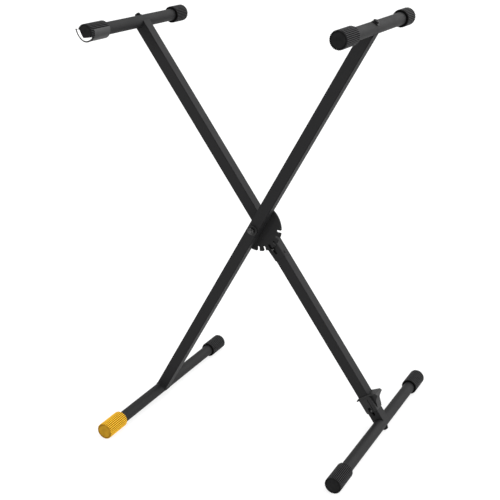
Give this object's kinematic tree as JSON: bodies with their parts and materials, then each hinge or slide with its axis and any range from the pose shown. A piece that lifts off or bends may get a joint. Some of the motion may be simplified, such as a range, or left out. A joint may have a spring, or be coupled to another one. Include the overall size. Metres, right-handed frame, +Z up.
{
  "type": "folding keyboard stand",
  "caption": "Single-X folding keyboard stand with square bars, round foot and arm tubes, ribbed caps, a toothed lock disc and a sprung foot-pedal latch.",
  "frame": {"origin": "centre of the bounding box's base, on the floor under the pivot", "axes": "+Z up, X from the left foot tube to the right foot tube, Y along the tubes and away from the front"},
  "size_m": [0.579, 0.502, 0.8827],
  "materials": {
    "black_frame": "black powder coat on steel, satin",
    "black_cap": "moulded black rubber, matt",
    "yellow_cap": "moulded yellow rubber, matt",
    "black_moulding": "moulded black nylon",
    "zinc_hardware": "bright zinc plate",
    "spring_wire": "spring wire"
  },
  "bodies": {
    "back_frame": {"back_bar": "black_frame", "right_foot_tube": "black_frame", "left_arm_tube": "black_frame", "right_foot_bolt": "zinc_hardware", "right_foot_saddle_washer": "zinc_hardware", "right_foot_end_plug": "black_moulding", "left_arm_bolt": "zinc_hardware", "left_arm_saddle_washer": "zinc_hardware", "left_arm_end_plug": "black_moulding", "right_foot_cap_front": "black_cap", "right_foot_cap_rear": "black_cap", "left_arm_cap_front": "black_cap", "left_arm_cap_rear": "black_cap", "latch_bracket": "black_frame", "bracket_rivet_left": "black_frame", "bracket_rivet_right": "black_frame", "pivot_bolt": "zinc_hardware", "pivot_nut": "zinc_hardware", "pivot_washer_front": "black_moulding", "pivot_washer_rear": "zinc_hardware", "pivot_spacer": "black_moulding", "back_pivot_sleeve": "black_frame", "return_spring": "spring_wire"},
    "front_frame": {"front_bar": "black_frame", "left_foot_tube": "black_frame", "right_arm_tube": "black_frame", "right_arm_bolt": "zinc_hardware", "right_arm_saddle_washer": "zinc_hardware", "right_arm_end_plug": "black_moulding", "left_foot_cap_rear": "black_cap", "right_arm_cap_front": "black_cap", "right_arm_cap_rear": "black_cap", "lock_disc": "black_frame", "front_pivot_sleeve": "black_frame"},
    "latch": {"foot_pedal": "black_moulding", "pedal_pin": "zinc_hardware", "lower_slider": "black_moulding", "pull_rod": "zinc_hardware", "upper_slider": "black_moulding", "latch_pin": "zinc_hardware"},
    "levelling_cap": {"levelling_cap": "yellow_cap"}
  },
  "joints": [
    {"name": "fold", "type": "hinge", "parent": "back_frame", "child": "front_frame", "pos_m": [0.00093, 0, 0.44282], "axis": [0, 1, 0], "range_deg": [-60, 51]},
    {"name": "latch_slide", "type": "slide", "parent": "back_frame", "child": "latch", "axis": [-0.5373, 0, 0.8434], "range_m": [-0.0095, 0.0111], "stiffness_N_per_m": 250, "springref_m": 0.02},
    {"name": "levelling_turn", "type": "hinge", "parent": "front_frame", "child": "levelling_cap", "pos_m": [-0.26987, -0.2205, 0.01775], "axis": [0, 1, 0], "continuous": true}
  ]
}
